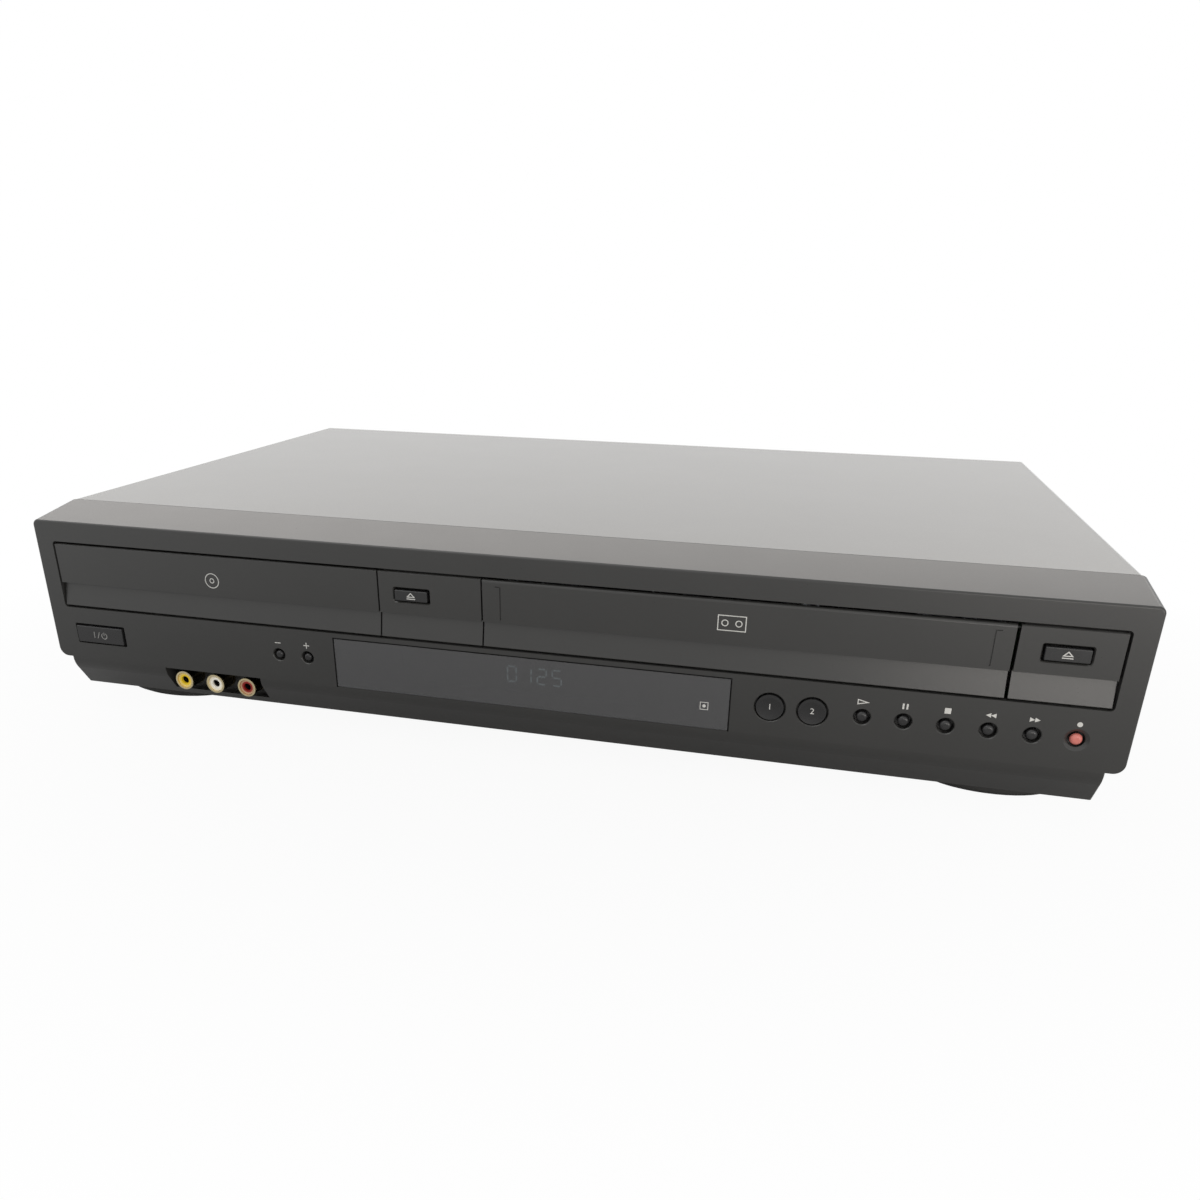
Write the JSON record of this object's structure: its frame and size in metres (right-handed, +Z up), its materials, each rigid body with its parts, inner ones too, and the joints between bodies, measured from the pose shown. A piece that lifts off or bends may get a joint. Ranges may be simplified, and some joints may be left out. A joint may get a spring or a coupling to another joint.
{
  "type": "vcr dvd combo player",
  "caption": "Low wide disc and tape player with a sloped front, disc tray, sprung tape door, push buttons, smoked display window and front and rear sockets.",
  "frame": {"origin": "middle of the bounding box at floor level", "axes": "+X right as seen from the front, +Y to the rear, +Z up"},
  "size_m": [0.43, 0.2648, 0.088],
  "materials": {
    "panel_black": "fine matte black moulding",
    "cover_paint": "satin dark paint on steel",
    "zinc_steel": "plain zinc-plated sheet",
    "bright_steel": "ground steel",
    "nickel": "bright nickel plate",
    "smoke_window": "smoked clear plastic",
    "socket_colours": "coloured plastic, one colour for each signal",
    "socket_black": "plain black moulding",
    "button_black": "smooth dark plastic",
    "record_red": "coral red plastic",
    "pad_rubber": "soft black rubber",
    "board_green": "solder-masked board",
    "core_iron": "laminated core",
    "can_blue": "sleeved can",
    "display_glass": "dark display tube",
    "tray_grey": "dark tray moulding",
    "mech_white": "natural white moulding",
    "mark_ink": "pale printed marks",
    "drum_alloy": "turned alloy"
  },
  "bodies": {
    "cabinet": {"chassis_base": "zinc_steel", "top_cover": "cover_paint", "rear_panel": "zinc_steel", "front_panel": "panel_black", "display_window": "smoke_window", "disc_eject_trim": "panel_black", "tape_eject_trim": "panel_black", "feet": "panel_black", "foot_pads": "pad_rubber", "case_screws": "bright_steel", "cord_gland": "socket_black", "socket_blocks": "socket_black", "socket_shells": "nickel", "socket_inserts": "socket_colours", "tuner_module": "zinc_steel", "circuit_boards": "board_green", "transformer": "core_iron", "capacitors": "can_blue", "push_switches": "socket_black", "display_module": "display_glass", "loader_frame": "socket_black", "clamp_bridge": "zinc_steel", "tray_belt": "pad_rubber", "tray_motor": "bright_steel", "deck_plate": "zinc_steel", "deck_posts": "zinc_steel", "drum_base": "drum_alloy", "carriage_plates": "zinc_steel"},
    "tray": {"disc_tray": "tray_grey", "tray_front": "panel_black"},
    "tray_drive": {"tray_gear": "mech_white"},
    "tray_motor_drive": {"tray_motor_pulley": "mech_white"},
    "clamp": {"disc_clamp": "socket_black"},
    "traverse": {"traverse_frame": "mech_white", "sled_rods": "bright_steel"},
    "disc_turntable": {"turntable": "mech_white"},
    "pickup": {"optical_pickup": "socket_black"},
    "carriage": {"carriage_slider": "zinc_steel"},
    "holder": {"cassette_holder": "zinc_steel"},
    "door": {"cassette_door": "panel_black", "door_rod": "bright_steel"},
    "supply_reel_body": {"supply_reel": "mech_white"},
    "take_up_reel_body": {"take_up_reel": "mech_white"},
    "drum": {"head_drum": "drum_alloy"},
    "capstan_body": {"capstan": "drum_alloy"},
    "pinch_lever": {"pinch_arm": "mech_white"},
    "roller": {"pinch_roller": "pad_rubber"},
    "power_press": {"power_button": "button_black"},
    "disc_eject_press": {"disc_eject_button": "button_black"},
    "tape_eject_press": {"tape_eject_button": "button_black"},
    "tracking_minus_press": {"tracking_minus_button": "button_black"},
    "tracking_plus_press": {"tracking_plus_button": "button_black"},
    "select_disc_press": {"select_disc_button": "button_black"},
    "select_tape_press": {"select_tape_button": "button_black"},
    "play_press": {"play_button": "button_black"},
    "pause_press": {"pause_button": "button_black"},
    "stop_press": {"stop_button": "button_black"},
    "rewind_press": {"rewind_button": "button_black"},
    "fast_forward_press": {"fast_forward_button": "button_black"},
    "record_press": {"record_button": "record_red"}
  },
  "joints": [
    {"name": "tray_slide", "type": "slide", "parent": "cabinet", "child": "tray", "axis": [0, -1, 0], "range_m": [0, 0.14]},
    {"name": "tray_gear_spin", "type": "hinge", "parent": "cabinet", "child": "tray_drive", "pos_m": [-0.09532, -0.0976, 0.051], "axis": [0, 0, -1], "range_deg": [0, 645]},
    {"name": "tray_pulley_spin", "type": "hinge", "parent": "cabinet", "child": "tray_motor_drive", "pos_m": [-0.15332, -0.0976, 0.044], "axis": [0, 0, -1], "range_deg": [0, 1650]},
    {"name": "clamp_lift", "type": "slide", "parent": "cabinet", "child": "clamp", "axis": [0, 0, 1], "range_m": [0, 0.0015]},
    {"name": "traverse_tilt", "type": "hinge", "parent": "cabinet", "child": "traverse", "pos_m": [-0.13331, 0.0384, 0.0415], "axis": [1, 0, 0], "range_deg": [0, 6]},
    {"name": "turntable_spin", "type": "hinge", "parent": "traverse", "child": "disc_turntable", "pos_m": [-0.13331, -0.0566, 0.0603], "axis": [0, 0, 1], "continuous": true},
    {"name": "pickup_slide", "type": "slide", "parent": "traverse", "child": "pickup", "axis": [0, 1, 0], "range_m": [0, 0.034]},
    {"name": "carriage_slide", "type": "slide", "parent": "cabinet", "child": "carriage", "axis": [0, 1, 0], "range_m": [0, 0.06]},
    {"name": "holder_drop", "type": "slide", "parent": "carriage", "child": "holder", "axis": [0, 0, -1], "range_m": [0, 0.018]},
    {"name": "door_swing", "type": "hinge", "parent": "cabinet", "child": "door", "pos_m": [0.07783, -0.13, 0.07321], "axis": [1, 0, 0], "range_deg": [0, 90], "stiffness_Nm_per_rad": 0.006, "springref_deg": -22.92},
    {"name": "supply_reel_spin", "type": "hinge", "parent": "cabinet", "child": "supply_reel_body", "pos_m": [0.03183, -0.0476, 0.0235], "axis": [0, 0, 1], "continuous": true},
    {"name": "take_up_reel_spin", "type": "hinge", "parent": "cabinet", "child": "take_up_reel_body", "pos_m": [0.12383, -0.0476, 0.0235], "axis": [0, 0, 1], "continuous": true},
    {"name": "drum_spin", "type": "hinge", "parent": "cabinet", "child": "drum", "pos_m": [0.07783, 0.0384, 0.0235], "axis": [0, 0.0872, 0.9962], "continuous": true},
    {"name": "capstan_spin", "type": "hinge", "parent": "cabinet", "child": "capstan_body", "pos_m": [0.12783, 0.0104, 0.0235], "axis": [0, 0, 1], "continuous": true},
    {"name": "pinch_swing", "type": "hinge", "parent": "cabinet", "child": "pinch_lever", "pos_m": [0.15183, 0.0084, 0.0235], "axis": [0, 0, -1], "range_deg": [0, 20]},
    {"name": "pinch_roller_spin", "type": "hinge", "parent": "pinch_lever", "child": "roller", "pos_m": [0.13143, -0.00573, 0.0235], "axis": [0, 0, 1], "continuous": true},
    {"name": "power_button_press", "type": "slide", "parent": "cabinet", "child": "power_press", "axis": [0, 1, 0], "range_m": [0, 0.0012], "stiffness_N_per_m": 250, "springref_m": -0.0015},
    {"name": "disc_eject_button_press", "type": "slide", "parent": "cabinet", "child": "disc_eject_press", "axis": [0, 1, 0], "range_m": [0, 0.0012], "stiffness_N_per_m": 250, "springref_m": -0.0015},
    {"name": "tape_eject_button_press", "type": "slide", "parent": "cabinet", "child": "tape_eject_press", "axis": [0, 1, 0], "range_m": [0, 0.0012], "stiffness_N_per_m": 250, "springref_m": -0.0015},
    {"name": "tracking_minus_button_press", "type": "slide", "parent": "cabinet", "child": "tracking_minus_press", "axis": [0, 1, 0], "range_m": [0, 0.0012], "stiffness_N_per_m": 250, "springref_m": -0.0015},
    {"name": "tracking_plus_button_press", "type": "slide", "parent": "cabinet", "child": "tracking_plus_press", "axis": [0, 1, 0], "range_m": [0, 0.0012], "stiffness_N_per_m": 250, "springref_m": -0.0015},
    {"name": "select_disc_button_press", "type": "slide", "parent": "cabinet", "child": "select_disc_press", "axis": [0, 1, 0], "range_m": [0, 0.0012], "stiffness_N_per_m": 250, "springref_m": -0.0015},
    {"name": "select_tape_button_press", "type": "slide", "parent": "cabinet", "child": "select_tape_press", "axis": [0, 1, 0], "range_m": [0, 0.0012], "stiffness_N_per_m": 250, "springref_m": -0.0015},
    {"name": "play_button_press", "type": "slide", "parent": "cabinet", "child": "play_press", "axis": [0, 1, 0], "range_m": [0, 0.0012], "stiffness_N_per_m": 250, "springref_m": -0.0015},
    {"name": "pause_button_press", "type": "slide", "parent": "cabinet", "child": "pause_press", "axis": [0, 1, 0], "range_m": [0, 0.0012], "stiffness_N_per_m": 250, "springref_m": -0.0015},
    {"name": "stop_button_press", "type": "slide", "parent": "cabinet", "child": "stop_press", "axis": [0, 1, 0], "range_m": [0, 0.0012], "stiffness_N_per_m": 250, "springref_m": -0.0015},
    {"name": "rewind_button_press", "type": "slide", "parent": "cabinet", "child": "rewind_press", "axis": [0, 1, 0], "range_m": [0, 0.0012], "stiffness_N_per_m": 250, "springref_m": -0.0015},
    {"name": "fast_forward_button_press", "type": "slide", "parent": "cabinet", "child": "fast_forward_press", "axis": [0, 1, 0], "range_m": [0, 0.0012], "stiffness_N_per_m": 250, "springref_m": -0.0015},
    {"name": "record_button_press", "type": "slide", "parent": "cabinet", "child": "record_press", "axis": [0, 1, 0], "range_m": [0, 0.0012], "stiffness_N_per_m": 250, "springref_m": -0.0015}
  ],
  "couplings": [
    {"joint": "tray_gear_spin", "follows": "tray_slide", "rad_per_m": 80},
    {"joint": "tray_pulley_spin", "follows": "tray_slide", "rad_per_m": 205}
  ]
}
